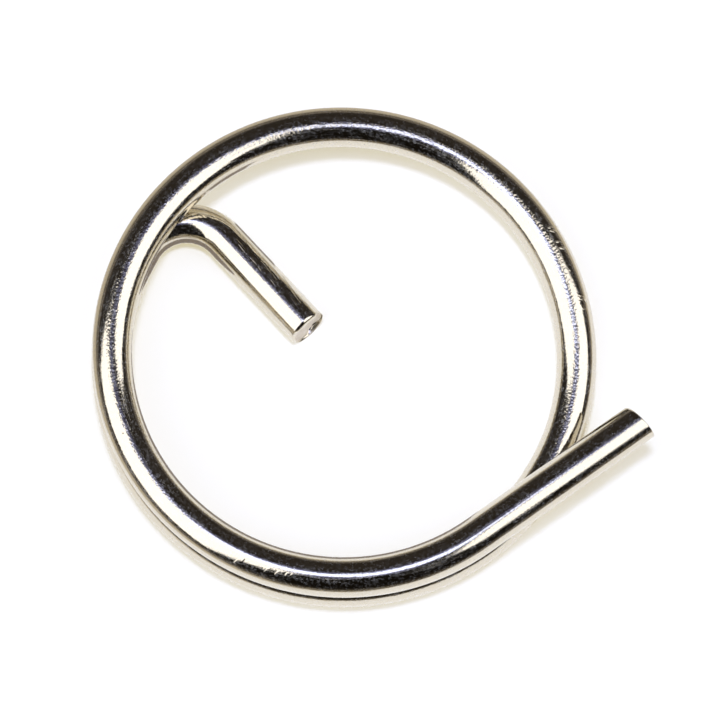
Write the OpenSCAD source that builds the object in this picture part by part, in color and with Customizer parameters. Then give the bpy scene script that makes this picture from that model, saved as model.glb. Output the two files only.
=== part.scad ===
// Ring linch pin: one length of round spring wire, coiled into a ring of nearly one and a half turns.
// The lower end is bent in towards the middle as a straight leg, which goes into a shaft's cross hole.
// The upper end runs off the ring as a straight tail, which a finger or a tool lifts and turns.
// The ring's axis is Z and the lower coil lies on the plane z = 0. Angles are seen from above,
// anticlockwise from +X. From the leg's tip the wire climbs anticlockwise, as a right-handed coil.

/* [Wire] */
// Diameter of the round wire
wire_d = 2; // [1.2:0.1:3]

/* [Ring] */
// Outside diameter of the ring, over the lower coil
ring_od = 25.4; // [22:0.1:36]
// How much tighter the upper coil is wound than the lower one, in radius
coil_step = 0.12; // [0:0.02:0.4]
// Gap between the two coils where one lies over the other
coil_gap = 0.05; // [0.04:0.01:0.5]

/* [Leg] */
// Angle on the lower coil where the wire bends in
bend_angle = 151; // [140:1:190]
// Inside radius of the bend
bend_inner_r = 1.6; // [1:0.1:3]
// Angle that the wire turns through in the bend
bend_turn = 108.5; // [95:0.5:130]
// Straight length of the leg, from the bend to the middle of its cut end
leg_l = 6.3; // [3.5:0.1:8]

/* [Tail] */
// Angle on the upper coil where the wire straightens into the tail
tail_angle = 305.5; // [295:0.5:325]
// Straight length of the tail, to the middle of its cut end
tail_l = 9.85; // [6:0.05:14]

/* [Cut ends] */
// Slant of the sheared ends, from square
cut_slant = 8; // [0:1:14]
// Radius of the edge that the shear rolls over
roll_r = 0.3; // [0.1:0.05:0.5]

/* [Hidden] */
$fn = 96;

wire_r = wire_d / 2;
lower_r = ring_od / 2 - wire_r;
upper_r = lower_r - coil_step;
bend_r = bend_inner_r + wire_r;

// The climb is half a turn of a slightly tipped ring, which ends right over the bend.
// It leaves the lower coil and joins the upper one without a kink.
rise = wire_d + coil_gap;
climb_tip = atan(rise / (lower_r + upper_r));
climb_r = (lower_r + upper_r) / 2 / cos(climb_tip);

// How far the ball that closes a joint stands proud of the wire
joint_proud = 0.001;

// Wire bent to a flat arc about Z, its centre line at a radius and between two angles
module wire_arc(radius, from, to) {
    rotate_extrude(angle = to - from, start = from)
        translate([radius, 0])
            circle(d = wire_d);
}

// Outline of a cut end from the side, the wire along +X: a slanted end with its upper corner rolled over
module cut_outline(l) {
    roll_x = l - (roll_r + (wire_r - roll_r) * sin(cut_slant)) / cos(cut_slant);
    roll_y = wire_r - roll_r;
    polygon([
        [0, -wire_r],
        [l + wire_r * tan(cut_slant), -wire_r],
        [roll_x + roll_r * cos(cut_slant), roll_y + roll_r * sin(cut_slant)],
        [roll_x, roll_y],
        [roll_x, wire_r],
        [0, wire_r]
    ]);
    translate([roll_x, roll_y])
        circle(r = roll_r);
}

// Straight wire along +X to a sheared end, its rolled edge uppermost, with a ball at the origin
// that closes the joint to the bent wire before it
module cut_wire(l) {
    sphere(r = wire_r + joint_proud);
    intersection() {
        rotate([0, 90, 0])
            cylinder(d = wire_d, h = l + wire_d);
        rotate([90, 0, 0])
            linear_extrude(height = 2 * wire_d, center = true)
                cut_outline(l);
    }
}

// Lower coil, back from the foot of the climb at the origin, then the bend and the leg, rolled edge up
module lower_coil() {
    translate([-lower_r, 0, 0]) {
        wire_arc(lower_r, 180, 360);
        translate([bend_r - lower_r, 0, 0]) {
            wire_arc(bend_r, 180 - bend_turn, 180);
            rotate([0, 0, 180 - bend_turn])
                translate([bend_r, 0, 0])
                    rotate([0, 0, -90])
                        cut_wire(leg_l);
        }
    }
}

// Upper coil, on from the top of the climb at the origin, then the tail, rolled edge towards the ring
module upper_coil() {
    tail_start = 180 + tail_angle - bend_angle;
    translate([upper_r, 0, 0]) {
        wire_arc(upper_r, 180, tail_start);
        rotate([0, 0, tail_start])
            translate([upper_r, 0, 0])
                rotate([0, 0, 90])
                    rotate([-90, 0, 0])
                        cut_wire(tail_l);
    }
}

// The whole wire, built outwards from the climb, each stretch starting where the last one ends
module ring_pin() {
    color([0.79, 0.75, 0.67])
        rotate([0, 0, bend_angle - 180])
            translate([coil_step / 2, 0, wire_r + rise / 2])
                rotate([0, climb_tip, 0]) {
                    wire_arc(climb_r, 0, 180);
                    translate([climb_r, 0, 0])
                        rotate([0, -climb_tip, 0])
                            lower_coil();
                    translate([-climb_r, 0, 0])
                        rotate([0, -climb_tip, 0])
                            upper_coil();
                }
}

ring_pin();
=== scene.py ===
import math

import bpy
import numpy as np
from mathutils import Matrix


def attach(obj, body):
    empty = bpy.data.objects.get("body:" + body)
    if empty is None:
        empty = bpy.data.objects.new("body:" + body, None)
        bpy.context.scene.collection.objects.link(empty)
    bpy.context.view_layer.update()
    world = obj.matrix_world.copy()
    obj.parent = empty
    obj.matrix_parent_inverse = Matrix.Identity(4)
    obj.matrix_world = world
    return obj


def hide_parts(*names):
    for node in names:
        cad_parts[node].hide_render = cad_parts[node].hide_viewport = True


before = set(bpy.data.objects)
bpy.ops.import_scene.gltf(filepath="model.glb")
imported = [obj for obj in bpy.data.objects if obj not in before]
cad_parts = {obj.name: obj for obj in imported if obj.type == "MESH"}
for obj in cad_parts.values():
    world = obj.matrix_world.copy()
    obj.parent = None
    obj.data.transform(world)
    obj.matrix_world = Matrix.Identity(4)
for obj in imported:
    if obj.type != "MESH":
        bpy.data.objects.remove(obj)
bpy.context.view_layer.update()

# Wire: one length of drawn spring steel, 2 mm across, wound on a mandrel into a ring of nearly one and
# a half turns and then nickel plated. The lower end is bent in as the leg, and the upper end runs off
# straight as the tail. Both ends are sheared, which rolls one edge over and tears the rest of the face.
WIRE_R = 0.001
LOWER_R = 0.0117
UPPER_R = 0.01158
LAYER_RISE = 0.00205
BEND_R = 0.0026
BEND_AT = math.radians(151)
BEND_TURN = math.radians(108.5)
TAIL_AT = math.radians(305.5)
LEG_LENGTH = 0.0063
TAIL_LENGTH = 0.00985
CUT_SLANT = math.radians(8)
EDGE_R = 0.00004
LEG_ROLL_R = 0.0002
LEG_ROLL_TURN = 0.5
TAIL_ROLL_R = 0.00014
TAIL_CROWN = 0.00005

# Rings of points in each run of the wire, round each rim and over each cut face, and points in a ring
LEG_RINGS, BEND_RINGS, HALF_TURN_RINGS, UPPER_RINGS, TAIL_RINGS = 52, 64, 241, 206, 76
RIM_RINGS, FACE_RINGS = 9, 34
RING_POINTS = 88


def straight_run(start, direction, distance):
    """Points of a straight run: the start plus each distance times the direction, which is also
    the tangent."""
    return start + distance[:, None] * direction, np.broadcast_to(direction, (len(distance), 3))


def bent_run(centre, first, second, radius, angle):
    """Points of a round bend: the centre plus radius times (cos angle times one unit vector plus sin angle
    times the other). The tangent is the same sum a quarter turn further on."""
    c, s = np.cos(angle)[:, None], np.sin(angle)[:, None]
    return centre + radius * (c * first + s * second), c * second - s * first


def flat(angle):
    """Unit vector in the floor's plane at an angle from +X."""
    return np.array([math.cos(angle), math.sin(angle), 0.0])


EAST, NORTH, UP = np.eye(3)
lower_z, upper_z = WIRE_R, WIRE_R + LAYER_RISE
bend_middle = (LOWER_R - BEND_R) * flat(BEND_AT) + lower_z * UP
leg_root = bend_middle + BEND_R * flat(BEND_AT - BEND_TURN)
leg_way = flat(BEND_AT - BEND_TURN - math.pi / 2)
climb_tip = math.atan(LAYER_RISE / (LOWER_R + UPPER_R))
climb_r = (LOWER_R + UPPER_R) / 2 / math.cos(climb_tip)
climb_foot = flat(BEND_AT - math.pi)
climb_middle = (LOWER_R - UPPER_R) / 2 * climb_foot + (lower_z + LAYER_RISE / 2) * UP
climb_down = math.cos(climb_tip) * climb_foot - math.sin(climb_tip) * UP
tail_root = UPPER_R * flat(TAIL_AT) + upper_z * UP
half_turn = np.linspace(0, math.pi, HALF_TURN_RINGS)[1:]

# From the leg's tip: leg, bend, lower coil, climb, upper coil and tail
runs = [
    straight_run(leg_root + LEG_LENGTH * leg_way, -leg_way, np.linspace(0, LEG_LENGTH, LEG_RINGS)),
    bent_run(bend_middle, EAST, NORTH, BEND_R, BEND_AT - BEND_TURN * np.linspace(1, 0, BEND_RINGS)[1:]),
    bent_run(lower_z * UP, EAST, NORTH, LOWER_R, BEND_AT + half_turn),
    bent_run(climb_middle, climb_down, flat(BEND_AT - math.pi / 2), climb_r, half_turn),
    bent_run(upper_z * UP, EAST, NORTH, UPPER_R, np.linspace(BEND_AT, TAIL_AT, UPPER_RINGS)[1:]),
    straight_run(tail_root, flat(TAIL_AT + math.pi / 2), np.linspace(0, TAIL_LENGTH, TAIL_RINGS)[1:]),
]
centre_line = np.concatenate([points for points, _ in runs])
tangent = np.concatenate([ways for _, ways in runs])
up = UP - tangent * tangent[:, 2:]
up /= np.linalg.norm(up, axis=1, keepdims=True)
side = np.cross(tangent, up)
length_along = np.concatenate([[0], np.cumsum(np.linalg.norm(np.diff(centre_line, axis=0), axis=1))])

# Where round the rim the rolled edge starts, from -1 on the far side to 1 on the rolled side
ROLL_FROM = -0.5

# The leg's torn face, in shares of the wire's radius: the lower border of the burnished lip, the depth
# of the tear below it, the chip behind its slanted step, and the piece broken out along the lower rim.
# Each wave is a height, how fast it runs across and up the face, and its start, in radians.
LIP_SHARE, LIP_STEEPNESS = 0.70, 9
LIP_WAVE_SHARES = [(0.05, 9, 0, 0), (0.03, 17, 0, 2)]
TEAR_SHARE = 0.055
TEAR_WAVE_SHARES = [(0.0125, 7, 2, 0), (0.0075, 13, -5, 1), (0.005, 23, 9, 0)]
CHIP_SHARE, CHIP_FROM_SHARE = 0.11, 0.33
CHIP_SLANT, CHIP_STEEPNESS = 0.42, 12
BREAK_SHARE, BREAK_MORE_SHARE = 0.066, 0.088
BREAK_BELOW_SHARE, BREAK_MORE_FROM_SHARE, BREAK_STEEPNESS = -0.25, -0.6, 1.8
BREAK_WAVE_SHARES = [(0.12, 6, 0, 1)]
FACE_MIDDLE_SHARE = 0.02


def smooth_step(x):
    """0 below 0, 1 above 1, and 3 x squared less 2 x cubed between them."""
    x = np.clip(x, 0, 1)
    return x * x * (3 - 2 * x)


def waves(terms, a, b):
    """Sum of sines, at a above and b across the face's middle: each is its height times the sine of its
    first rate times b plus its second rate times a plus its start."""
    return sum(height * np.sin(across * b + above * a + start) for height, across, above, start in terms)


def rim_radius(towards, roll_r):
    """Radius of the rim of a cut face, by how far round it points towards the rolled side, from -1 to 1: it
    grows smoothly from EDGE_R on the far side to the roll's own radius."""
    return EDGE_R + (roll_r - EDGE_R) * smooth_step((towards - ROLL_FROM) / (1 - ROLL_FROM))


def below_lip(a, b):
    """0 on the burnished lip along the top of the leg's face and 1 under its wavy lower border, in wire
    radii a and b above and across the face's middle."""
    return smooth_step((LIP_SHARE + waves(LIP_WAVE_SHARES, a, b) - a) * LIP_STEEPNESS)


def torn_leg(a, b):
    """How far the leg's cut face is broken back, in wire radii: waves of three sines below the lip, a piece
    broken out along the lower rim, and a chip behind a slanted step that runs from the lip to that rim."""
    chip = smooth_step((b - CHIP_FROM_SHARE - CHIP_SLANT * a) * CHIP_STEEPNESS)
    below = smooth_step((BREAK_BELOW_SHARE - a + waves(BREAK_WAVE_SHARES, a, b)) * BREAK_STEEPNESS)
    broken = below * (BREAK_SHARE + BREAK_MORE_SHARE * smooth_step(b - BREAK_MORE_FROM_SHARE))
    return below_lip(a, b) * (TEAR_SHARE + waves(TEAR_WAVE_SHARES, a, b) + CHIP_SHARE * chip) + broken


def wire_surface(around):
    """The whole skin of the wire: each ring is centre(s) + share * WIRE_R * (cos v * side + sin v * up),
    with the share 1 along the wire and falling to 0 across each cut face. In the two straight ends the
    rings lean more and more towards the slanted face, and the last rings turn over its rim and follow it
    to its middle."""
    v = np.arange(around) * 2 * math.pi / around
    turn = np.linspace(0, math.pi / 2, RIM_RINGS)[1:, None]
    inwards = np.linspace(1, FACE_MIDDLE_SHARE, FACE_RINGS)[1:, None]

    def end_rings(rim):
        """Share and distance behind the face: round a quarter circle of the rim's radius, then over it."""
        share = np.concatenate([1 - rim / WIRE_R * (1 - np.cos(turn)), (1 - rim / WIRE_R) * inwards])
        return share, np.concatenate([rim * (1 - np.sin(turn)), 0 * rim * inwards])

    leg_rim = rim_radius(np.sin(v - LEG_ROLL_TURN), LEG_ROLL_R)
    tail_rim = rim_radius(-np.cos(v), TAIL_ROLL_R)
    leg_share, leg_back = end_rings(leg_rim)
    tail_share, tail_back = end_rings(tail_rim)
    full = np.ones((len(centre_line), around))
    share = np.concatenate([leg_share[::-1], full, tail_share])
    leg_behind = np.concatenate([leg_back[::-1], full * leg_rim, full[:len(tail_back)] * leg_rim])
    tail_behind = np.concatenate([full[:len(leg_back)] * tail_rim, full * tail_rim, tail_back])
    station = np.concatenate([np.zeros(len(leg_back), int), np.arange(len(centre_line)),
                              np.full(len(tail_back), len(centre_line) - 1)])
    a, b = share * np.sin(v), share * np.cos(v)
    sideways, upwards = WIRE_R * b, WIRE_R * a
    from_leg = np.clip(1 - length_along[station] / LEG_LENGTH, 0, 1)[:, None]
    from_tail = np.clip(1 - (length_along[-1] - length_along[station]) / TAIL_LENGTH, 0, 1)[:, None]
    leg_cut = -upwards * math.tan(CUT_SLANT) - leg_behind
    leg_cut = leg_cut - torn_leg(a, b) * WIRE_R * np.where(leg_behind > 0, 1 - leg_behind / leg_rim, 1)
    tail_cut = sideways * math.tan(CUT_SLANT) + TAIL_CROWN * (1 - a * a - b * b) - tail_behind
    lean = from_tail * tail_cut - from_leg * leg_cut
    points = (centre_line[station][:, None, :] + sideways[..., None] * side[station][:, None, :]
              + upwards[..., None] * up[station][:, None, :]
              + lean[..., None] * tangent[station][:, None, :])
    place = np.stack([length_along[station][:, None] + lean, sideways, upwards], axis=-1)
    torn = np.where(from_leg == 1, (leg_behind == 0) * below_lip(a, b), tail_behind == 0)
    return points, place, torn.astype(float)


def closed_tube(name, points, place, cut):
    """A mesh of the grid of rings: quads between each ring and the next, and a fan on the middle of each
    end. It carries the place along and across the wire in mm, and how far each point is on a cut face."""
    mm_per_m = 1000
    rings, around, _ = points.shape
    poles = np.stack([points[0].mean(0), points[-1].mean(0)])
    corner = np.arange(rings * around).reshape(rings, around)
    after = np.roll(corner, -1, axis=1)
    quads = np.stack([corner[:-1], after[:-1], after[1:], corner[1:]], axis=-1).reshape(-1, 4)
    first, last = rings * around, rings * around + 1
    start_fan = np.stack([np.full(around, first), after[0], corner[0]], axis=-1)
    end_fan = np.stack([np.full(around, last), corner[-1], after[-1]], axis=-1)
    mesh = bpy.data.meshes.new(name)
    mesh.from_pydata(np.concatenate([points.reshape(-1, 3), poles]), [],
                     quads.tolist() + start_fan.tolist() + end_fan.tolist())
    mesh.polygons.foreach_set("use_smooth", np.ones(len(mesh.polygons), bool))
    ends = np.stack([place[0].mean(0), place[-1].mean(0)])
    in_mm = np.concatenate([place.reshape(-1, 3), ends]) * mm_per_m
    mesh.attributes.new("wire_place", "FLOAT_VECTOR", "POINT").data.foreach_set(
        "vector", in_mm.astype(np.float32).ravel())
    mesh.attributes.new("cut_face", "FLOAT", "POINT").data.foreach_set(
        "value", np.concatenate([cut.ravel(), [1, 1]]).astype(np.float32))
    mesh.update()
    piece = bpy.data.objects.new(name, mesh)
    bpy.context.scene.collection.objects.link(piece)
    return piece


wire = closed_tube("nickel_wire", *wire_surface(RING_POINTS))

# Plating: bright nickel of a warm silver, laid on the finished wire in a bath. Its marks are bumps, dull
# streaks, pits and a film, which follow the wire's own coordinates, in mm along it and across it.
PLATED = (0.70, 0.64, 0.51, 1)
BARE_CUT = (0.62, 0.54, 0.43, 1)
PITTED = (0.30, 0.25, 0.19, 1)
nickel = bpy.data.materials.new("bright_nickel")
nickel.use_nodes = True
nodes, links = nickel.node_tree.nodes, nickel.node_tree.links
metal = nodes["Principled BSDF"]
metal.inputs["Metallic"].default_value = 1.0

place = nodes.new("ShaderNodeAttribute")
place.attribute_name = "wire_place"
apart = nodes.new("ShaderNodeSeparateXYZ")
links.new(place.outputs["Vector"], apart.inputs["Vector"])
along_mm, across_mm = apart.outputs["X"], apart.outputs["Y"]
cut_face = nodes.new("ShaderNodeAttribute")
cut_face.attribute_name = "cut_face"
on_cut = cut_face.outputs["Fac"]


def stretched(grains, turn=0.0):
    """The wire's own coordinates in mm, turned in the plane along and across it and then scaled to so many
    grains a mm."""
    mapping = nodes.new("ShaderNodeMapping")
    mapping.vector_type = "TEXTURE"
    mapping.inputs["Scale"].default_value = [1 / per_mm for per_mm in grains]
    mapping.inputs["Rotation"].default_value = (0, 0, turn)
    links.new(place.outputs["Vector"], mapping.inputs["Vector"])
    return mapping.outputs["Vector"]


def wire_noise(grains, detail, roughness=0.5, turn=0.0):
    """Noise on the wire's own coordinates, with so many grains a mm along the wire and across it."""
    noise = nodes.new("ShaderNodeTexNoise")
    noise.inputs["Scale"].default_value = 1.0
    noise.inputs["Detail"].default_value = detail
    noise.inputs["Roughness"].default_value = roughness
    links.new(stretched(grains, turn), noise.inputs["Vector"])
    return noise.outputs["Fac"]


def wire_cells(grains):
    """Cells on the wire's own coordinates, with so many a mm along the wire and across it."""
    cells = nodes.new("ShaderNodeTexVoronoi")
    cells.inputs["Scale"].default_value = 1.0
    links.new(stretched(grains), cells.inputs["Vector"])
    return cells.outputs


def ramp(value, levels, results=(0.0, 1.0)):
    """A value between two levels, carried smoothly from one result to the other."""
    node = nodes.new("ShaderNodeMapRange")
    node.interpolation_type = "SMOOTHSTEP"
    node.inputs["From Min"].default_value, node.inputs["From Max"].default_value = levels
    node.inputs["To Min"].default_value, node.inputs["To Max"].default_value = results
    links.new(value, node.inputs["Value"])
    return node.outputs["Result"]


def combined(operation, first, second):
    """Two values put together by one step of arithmetic."""
    node = nodes.new("ShaderNodeMath")
    node.operation = operation
    for socket, value in zip(node.inputs, (first, second)):
        if isinstance(value, float):
            socket.default_value = value
        else:
            links.new(value, socket)
    return node.outputs["Value"]


def blended(share, first, second):
    """The first colour where the share is 0 and the second where it is 1. The node's colours are its
    inputs 6 and 7 and its output 2."""
    node = nodes.new("ShaderNodeMix")
    node.data_type = "RGBA"
    links.new(share, node.inputs["Factor"])
    for socket, colour in zip((node.inputs[6], node.inputs[7]), (first, second)):
        if isinstance(colour, tuple):
            socket.default_value = colour
        else:
            links.new(colour, socket)
    return node.outputs[2]


def bumped(height, distance, below=None, strength=1.0):
    """A bump of that height in metres, on top of another one."""
    bump = nodes.new("ShaderNodeBump")
    bump.inputs["Distance"].default_value = distance
    links.new(height, bump.inputs["Height"])
    if isinstance(strength, float):
        bump.inputs["Strength"].default_value = strength
    else:
        links.new(strength, bump.inputs["Strength"])
    if below is not None:
        links.new(below, bump.inputs["Normal"])
    return bump.outputs["Normal"]


# Drawing lines that the die leaves along the wire, ripples across it from the winding, and the plating's
# grain, each with its grains a mm and its height in metres. The grain is stronger along the rubbed crest,
# and weaker along the leg and the smooth part before the tail.
LINE_GRAINS, LINE_HEIGHT = (0.25, 13, 13), 0.000002
RIPPLE_GRAINS, RIPPLE_HEIGHT = (6, 2.5, 2.5), 0.000001
GRAIN_GRAINS, GRAIN_HEIGHT = (7.5, 9, 9), 0.0000105
CREST_MM, CREST_GRAIN = (0.12, 0.38), (1.0, 0.25)
LEG_MM, LEG_GRAIN = (9.0, 13.0), (0.4, 1.0)
TAIL_MM, TAIL_GRAIN = (97.0, 103.0), (1.0, 0.28)
grainy = ramp(combined("ABSOLUTE", across_mm, 0.0), CREST_MM, CREST_GRAIN)
grainy = combined("MULTIPLY", grainy, ramp(along_mm, TAIL_MM, TAIL_GRAIN))
grainy = combined("MULTIPLY", grainy, ramp(along_mm, LEG_MM, LEG_GRAIN))
skin = bumped(wire_noise(LINE_GRAINS, detail=3, roughness=0.6), LINE_HEIGHT)
skin = bumped(wire_noise(RIPPLE_GRAINS, detail=2), RIPPLE_HEIGHT, skin)
skin = bumped(wire_noise(GRAIN_GRAINS, detail=1), GRAIN_HEIGHT, skin, grainy)

# Nicks on the ring's outer shoulder, scratches before the tail, and the tool's marks along the leg
MARK_DEPTH = 0.000007
NICK_DEPTH_SHARE, SCRATCH_DEPTH_SHARE = 1.8, 0.7
MARK_LEVELS = (0.56, 0.66)
FADE_ALONG_MM, FADE_ACROSS_MM = 0.6, 0.12


def within(value, low, high, fade):
    """1 between two levels and 0 outside them, with a smooth fade inside each."""
    rising = ramp(value, (low, low + fade))
    return combined("MULTIPLY", rising, ramp(value, (high - fade, high), (1.0, 0.0)))


def marks(along, across, grains, turn):
    """Slanted marks on one stretch of the wire, between two places along it and two across it, in mm: 1 in
    each mark and 0 elsewhere."""
    patch = combined("MULTIPLY", within(along_mm, *along, FADE_ALONG_MM),
                     within(across_mm, *across, FADE_ACROSS_MM))
    return combined("MULTIPLY", patch, ramp(wire_noise(grains, detail=1, turn=turn), MARK_LEVELS))


nicks = marks(along=(55.2, 61.2), across=(0.36, 0.8), grains=(5.0, 0.7, 0.3), turn=0.6)
scratches = marks(along=(103.0, 109.0), across=(0.22, 0.85), grains=(3.0, 0.5, 0.3), turn=0.5)
tool_marks = marks(along=(0.4, 10.5), across=(0.05, 0.9), grains=(0.7, 7.0, 3.0), turn=0.12)
scored = combined("MAXIMUM", combined("MULTIPLY", scratches, SCRATCH_DEPTH_SHARE), tool_marks)
scored = combined("MAXIMUM", combined("MULTIPLY", nicks, NICK_DEPTH_SHARE), scored)
skin = bumped(scored, -MARK_DEPTH, skin)

# The torn metal of the two cut faces
TORN_GRAINS, TORN_HEIGHT = (9, 9, 9), 0.000045
skin = bumped(wire_noise(TORN_GRAINS, detail=3, roughness=0.6), TORN_HEIGHT, skin, on_cut)
links.new(skin, metal.inputs["Normal"])

# Small pits in the plating, which are dark dull dots, and dull streaks along the wire
PIT_GRAINS = (0.8, 0.8, 0.8)
PIT_LEVELS = (0.02, 0.045)
STREAK_GRAINS = (0.5, 11, 11)
STREAK_LEVELS, STREAK_ROUGHNESS = (0.48, 0.76), (0.09, 0.28)
CUT_ROUGHNESS, PIT_ROUGHNESS = 0.34, 0.5
pit = ramp(wire_cells(PIT_GRAINS)["Distance"], PIT_LEVELS, (1.0, 0.0))
drawn = wire_noise(STREAK_GRAINS, detail=3, roughness=0.7)
streaks = ramp(drawn, STREAK_LEVELS, STREAK_ROUGHNESS)
dulled = combined("MAXIMUM", combined("MULTIPLY", on_cut, CUT_ROUGHNESS),
                  combined("MULTIPLY", pit, PIT_ROUGHNESS))
links.new(combined("MAXIMUM", streaks, dulled), metal.inputs["Roughness"])
links.new(blended(pit, blended(on_cut, PLATED, BARE_CUT), PITTED), metal.inputs["Base Color"])

# A thin uneven film that hazes the plating, in lines along the wire and in fine specks
SPECK_GRAINS = (9, 12, 12)
LINE_SHARE, SPECK_SHARE = 0.4, 0.6
FILM_LEVELS = (0.46, 0.76)
speckled = combined("ADD", combined("MULTIPLY", drawn, LINE_SHARE),
                    combined("MULTIPLY", wire_cells(SPECK_GRAINS)["Color"], SPECK_SHARE))
links.new(ramp(speckled, FILM_LEVELS), metal.inputs["Coat Weight"])
metal.inputs["Coat Roughness"].default_value = 0.42
metal.inputs["Coat IOR"].default_value = 2.5

wire.data.materials.append(nickel)
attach(wire, "root")
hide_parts("ring_pin")

# Floor: a plain white sheet under the pin. What the camera and the metal see of it is lifted towards white,
# and the shade of the wire stays on it. The shade's warm tint is painted: the sheet's own colour is bluish
# and its lift is warm, so where the lamps are shaded off, the warm lift is left as a painted cream shade.
FLOOR_HALF = 3.0
BLUISH_SHEET_COLOUR = (0.47, 0.535, 0.72)
WARM_LIFT_FOR_PAINTED_SHADE = (0.515, 0.445, 0.245)


def matt_material(name, colour):
    """A material of one colour without any shine, and its shader."""
    material = bpy.data.materials.new(name)
    material.use_nodes = True
    shader = material.node_tree.nodes["Principled BSDF"]
    shader.inputs["Base Color"].default_value = (*colour, 1)
    shader.inputs["Specular IOR Level"].default_value = 0
    return material, shader


def studio_piece(name, points, faces, material, unseen_by=()):
    """A flat piece of the studio, which some kinds of ray don't see."""
    mesh = bpy.data.meshes.new(name)
    mesh.from_pydata(points, [], faces)
    mesh.materials.append(material)
    piece = bpy.data.objects.new(name, mesh)
    for ray in unseen_by:
        setattr(piece, "visible_" + ray, False)
    bpy.context.scene.collection.objects.link(piece)


paper, sheet = matt_material("white_sheet", BLUISH_SHEET_COLOUR)
nodes, links = paper.node_tree.nodes, paper.node_tree.links
path = nodes.new("ShaderNodeLightPath").outputs
seen = combined("MAXIMUM", path["Is Camera Ray"], path["Is Glossy Ray"])
# The warm lift over the bluish sheet paints the warm tint into the wire's shade.
sheet.inputs["Emission Color"].default_value = (*WARM_LIFT_FOR_PAINTED_SHADE, 1)
links.new(combined("MAXIMUM", seen, path["Is Transmission Ray"]), sheet.inputs["Emission Strength"])
floor_corners = [(-FLOOR_HALF, -FLOOR_HALF, 0), (FLOOR_HALF, -FLOOR_HALF, 0),
                 (FLOOR_HALF, FLOOR_HALF, 0), (-FLOOR_HALF, FLOOR_HALF, 0)]
studio_piece("floor", floor_corners, [(0, 1, 2, 3)], paper)

# Studio light: two soft boxes over the pin, one each side of the camera, and a pale patch of ceiling
# between them with a dim rim. All else round about is dark, which gives the plating its dark bands.
BOX_COLOUR, BOX_RADIANCE = (1, 1, 1.06), 1.75
PATCH_COLOUR, PATCH_RADIANCE = (0.85, 0.95, 1.5), 2.0
RIM_COLOUR, RIM_RADIANCE = (0.5, 0.52, 1.0), 0.24
PANEL_HEIGHT, RIM_HEIGHT = 0.5, 0.51
BLACK = (0, 0, 0)


def light_panel(name, corners, colour, radiance, height):
    """A level panel above the pin. Its corners are the zenith angle and the azimuth, in degrees, at which
    the pin sees them, so each lies tan(zenith) times the height away."""
    zenith, azimuth = np.radians(np.array(corners, float)).T
    reach = np.tan(zenith)
    ways = np.stack([reach * np.cos(azimuth), reach * np.sin(azimuth), np.ones(len(corners))], axis=-1)
    glow, lit = matt_material(name, BLACK)
    lit.inputs["Emission Color"].default_value = (*colour, 1)
    lit.inputs["Emission Strength"].default_value = radiance
    studio_piece(name, (height * ways).tolist(), [tuple(range(len(corners)))], glow, unseen_by=["camera"])


right_corners = [(11, 12), (18.5, 39), (39.5, 32), (58.5, 24), (67, 10),
                 (68, -2), (67, -18), (58.5, -41), (32, -51), (16.5, -33)]
left_corners = [(19, 138), (45.5, 157), (68.5, 171), (74.5, 180), (75.5, 190),
                (76.5, 209), (76, 229), (51, 236), (29.5, 245), (13, 247)]
patch_corners = [(10.5, 28), (11, 137), (13.5, 222), (13.5, -42)]
rim_corners = [(17, 50), (20, 125), (20, 240), (20, -60)]
light_panel("right_box", right_corners, BOX_COLOUR, BOX_RADIANCE, PANEL_HEIGHT)
light_panel("left_box", left_corners, BOX_COLOUR, BOX_RADIANCE, PANEL_HEIGHT)
light_panel("ceiling_patch", patch_corners, PATCH_COLOUR, PATCH_RADIANCE, PANEL_HEIGHT)
light_panel("ceiling_rim", rim_corners, RIM_COLOUR, RIM_RADIANCE, RIM_HEIGHT)

# A small lamp straight above, which draws the wire's shade on the floor and is not seen in the plating
overhead = bpy.data.lights.new("overhead", "AREA")
overhead.shape = "DISK"
overhead.size = 0.05
overhead.energy = 0.6
lamp = bpy.data.objects.new("overhead", overhead)
lamp.location = (0, 0.011, 0.35)
lamp.visible_glossy = False
bpy.context.scene.collection.objects.link(lamp)

# A painted dark reflection: a sheet round the pin which only the plating shows, and which darkens the pale
# floor in the metal's reflections. Its inner edge bulges outwards to the front right, and it darkens with
# the distance from there.
REFLECTION_SHEET_MIDDLE = np.array([0.001, -0.004, 0.0001])
REFLECTION_SHEET_IN, REFLECTION_SHEET_OUT, PAINTED_REFLECTION_DARK_AT = 0.0172, 0.3, 0.045
REFLECTION_SHEET_BULGE, BULGE_AT = 0.011, -math.pi / 4
REFLECTION_SHEET_POINTS = 96
PAINTED_REFLECTION_NEAR_COLOUR, PAINTED_REFLECTION_FAR_COLOUR = (0.55, 0.50, 0.40, 1), (0.10, 0.085, 0.07, 1)
PLATING_ONLY = ["camera", "diffuse", "shadow"]


def strip_faces(first_row, second_row):
    """Quads between two rows of points, given by their numbers."""
    corners = [first_row[:-1], second_row[:-1], second_row[1:], first_row[1:]]
    return np.stack(corners, axis=-1).tolist()


round_angles = np.arange(REFLECTION_SHEET_POINTS) * 2 * math.pi / REFLECTION_SHEET_POINTS
circle = np.stack([np.cos(round_angles), np.sin(round_angles), 0 * round_angles], axis=-1)
reflection_sheet_edge = REFLECTION_SHEET_IN + REFLECTION_SHEET_BULGE * np.clip(np.cos(round_angles - BULGE_AT), 0, 1)[:, None] ** 2
reflection_sheet_points = np.concatenate([REFLECTION_SHEET_MIDDLE + reflection_sheet_edge * circle, REFLECTION_SHEET_MIDDLE + REFLECTION_SHEET_OUT * circle])
edge_numbers = np.append(np.arange(REFLECTION_SHEET_POINTS), 0)
painted_reflection_material, dull = matt_material("painted_dark_reflection", PAINTED_REFLECTION_NEAR_COLOUR[:3])
nodes, links = painted_reflection_material.node_tree.nodes, painted_reflection_material.node_tree.links
distance = nodes.new("ShaderNodeVectorMath")
distance.operation = "DISTANCE"
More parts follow.
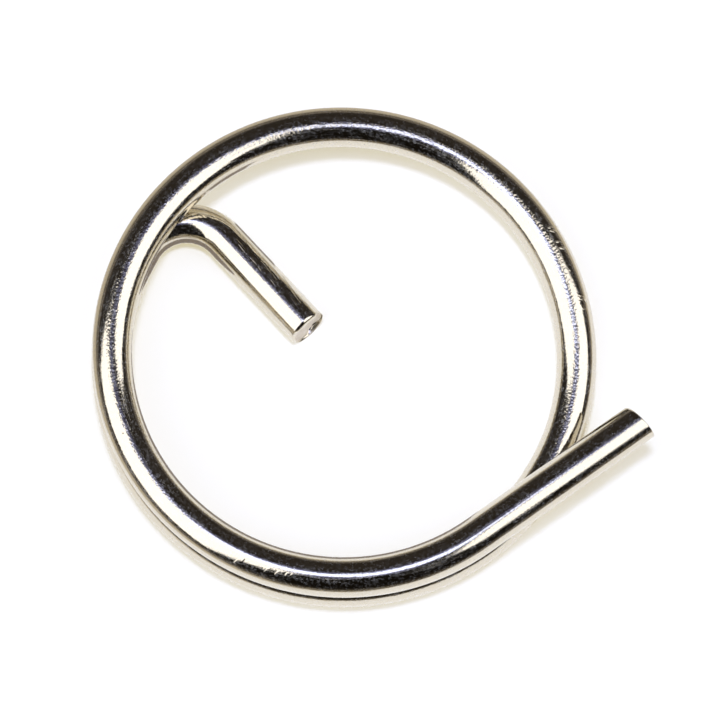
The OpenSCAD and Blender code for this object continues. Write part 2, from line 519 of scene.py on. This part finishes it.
distance.inputs[1].default_value = REFLECTION_SHEET_MIDDLE
links.new(nodes.new("ShaderNodeTexCoord").outputs["Object"], distance.inputs[0])
further = ramp(distance.outputs["Value"], (REFLECTION_SHEET_IN, PAINTED_REFLECTION_DARK_AT))
# The painted reflection's colour: pale brown near the ring, going dark further out.
links.new(blended(further, PAINTED_REFLECTION_NEAR_COLOUR, PAINTED_REFLECTION_FAR_COLOUR), dull.inputs["Base Color"])
reflection_sheet_faces = strip_faces(edge_numbers, edge_numbers + REFLECTION_SHEET_POINTS)
studio_piece("painted_reflection_sheet", reflection_sheet_points, reflection_sheet_faces, painted_reflection_material, PLATING_ONLY)

# Three dim flat pieces on the sheet, along the ring's near side, beside the leg and in the crook of the
# bend, which only the plating shows. They are painted reflections of shade: they keep the pale sheet out of
# the flanks that face away from the camera, so these flanks show a painted, shaded floor.
PAINTED_SHADE_CARD_COLOUR = (0.28, 0.25, 0.23)
CARD_Z = 0.00005
RING_CARD_FROM, RING_CARD_TO, RING_CARD_WIDENS_OVER = np.radians([170, 312, 35])
RING_CARD_OUT, RING_CARD_IN, RING_CARD_WIDENS = 0.0097, 0.0092, 0.0045
RING_CARD_POINTS = 49
LEG_CARD_ALONG = np.array([-0.0006, 0.0024])
LEG_CARD_NEAR, LEG_CARD_FAR = 0.0013, 0.003
CROOK_CARD_R = 0.0014
CROOK_CARD_STEP = 8

card_turn = np.linspace(RING_CARD_FROM, RING_CARD_TO, RING_CARD_POINTS)
card_way = np.stack([np.cos(card_turn), np.sin(card_turn), 0 * card_turn], axis=-1)
widened = smooth_step((card_turn - RING_CARD_FROM) / RING_CARD_WIDENS_OVER)
card_in = RING_CARD_IN - RING_CARD_WIDENS * widened
leg_right = np.cross(UP, leg_way)
by_leg = leg_root + LEG_CARD_ALONG[:, None] * leg_way
in_crook = bend_middle + CROOK_CARD_R * circle[::CROOK_CARD_STEP]
card_points = np.concatenate([card_in[:, None] * card_way, RING_CARD_OUT * card_way,
                              by_leg + LEG_CARD_NEAR * leg_right, by_leg + LEG_CARD_FAR * leg_right,
                              in_crook])
card_points[:, 2] = CARD_Z
ring_numbers = np.arange(RING_CARD_POINTS)
leg_numbers = 2 * RING_CARD_POINTS + np.arange(2)
crook_numbers = leg_numbers[0] + 4 + np.arange(len(in_crook))
card_faces = strip_faces(ring_numbers, ring_numbers + RING_CARD_POINTS)
card_faces += strip_faces(leg_numbers, leg_numbers + 2) + [crook_numbers.tolist()]
# The colour of the painted shade that these pieces put into the plating's reflections.
grey, _ = matt_material("painted_shade_card", PAINTED_SHADE_CARD_COLOUR)
studio_piece("painted_shade_cards", card_points, card_faces, grey, PLATING_ONLY)

# The room: dark brown walls and ceiling, which only the plating shows. It is a little lighter behind the
# pin and along the horizon.
HORIZON_FRONT, HORIZON_BACK = (0.06, 0.05, 0.04, 1), (0.20, 0.18, 0.17, 1)
CEILING_FRONT, CEILING_BACK = (0.007, 0.0055, 0.004, 1), (0.031, 0.026, 0.023, 1)
BEHIND_LEVELS, ABOVE_LEVELS = (-0.2, 0.7), (0.0, 0.28)
world = bpy.data.worlds.new("studio")
world.use_nodes = True
nodes, links = world.node_tree.nodes, world.node_tree.links
way = nodes.new("ShaderNodeSeparateXYZ")
links.new(nodes.new("ShaderNodeTexCoord").outputs["Generated"], way.inputs["Vector"])
behind = ramp(way.outputs["Y"], BEHIND_LEVELS)
above = ramp(way.outputs["Z"], ABOVE_LEVELS)
horizon = blended(behind, HORIZON_FRONT, HORIZON_BACK)
ceiling = blended(behind, CEILING_FRONT, CEILING_BACK)
links.new(blended(above, horizon, ceiling), nodes["Background"].inputs["Color"])
bpy.context.scene.world = world

# Camera: almost straight above the ring, tilted a little from the front, with the long lens and the
# framing of the photograph.
CAMERA_DISTANCE = 0.242
CAMERA_TILT = math.radians(13)
lens = bpy.data.cameras.new("camera")
lens.lens = 239.4
lens.sensor_width = 36
lens.shift_x = 0.0223
lens.shift_y = 0.004
eye = bpy.data.objects.new("camera", lens)
eye.location = (0, -CAMERA_DISTANCE * math.sin(CAMERA_TILT), CAMERA_DISTANCE * math.cos(CAMERA_TILT))
eye.rotation_euler = (CAMERA_TILT, 0, 0)
bpy.context.scene.collection.objects.link(eye)
bpy.context.scene.camera = eye
bpy.context.scene.view_settings.view_transform = "Standard"
